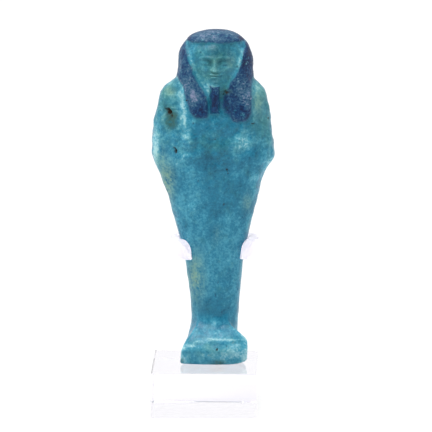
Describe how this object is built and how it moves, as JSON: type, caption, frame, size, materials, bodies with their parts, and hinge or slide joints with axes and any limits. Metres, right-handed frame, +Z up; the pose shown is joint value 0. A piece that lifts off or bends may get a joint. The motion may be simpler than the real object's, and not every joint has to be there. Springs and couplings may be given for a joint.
{
  "type": "ushabti figurine",
  "caption": "Mummiform glazed faience funerary figurine with wig, beard and crossed arms, standing on a clear block and held upright by a clear cradle at its shins.",
  "frame": {"origin": "middle of the block's underside, on the surface that the object stands on", "axes": "+Z up along the figurine, -Y the way the figurine faces, +X to the viewer's right"},
  "size_m": [0.0406, 0.0364, 0.1253],
  "materials": {
    "faience": "turquoise alkaline glaze on a sandy quartz body, dark blue painted wig and beard, worn, pitted and stained",
    "acrylic": "clear cast acrylic, polished faces and edges"
  },
  "bodies": {
    "root": {"ushabti_figurine": "faience", "mount_collar": "acrylic", "mount_upright": "acrylic", "mount_block": "acrylic"}
  },
  "joints": []
}
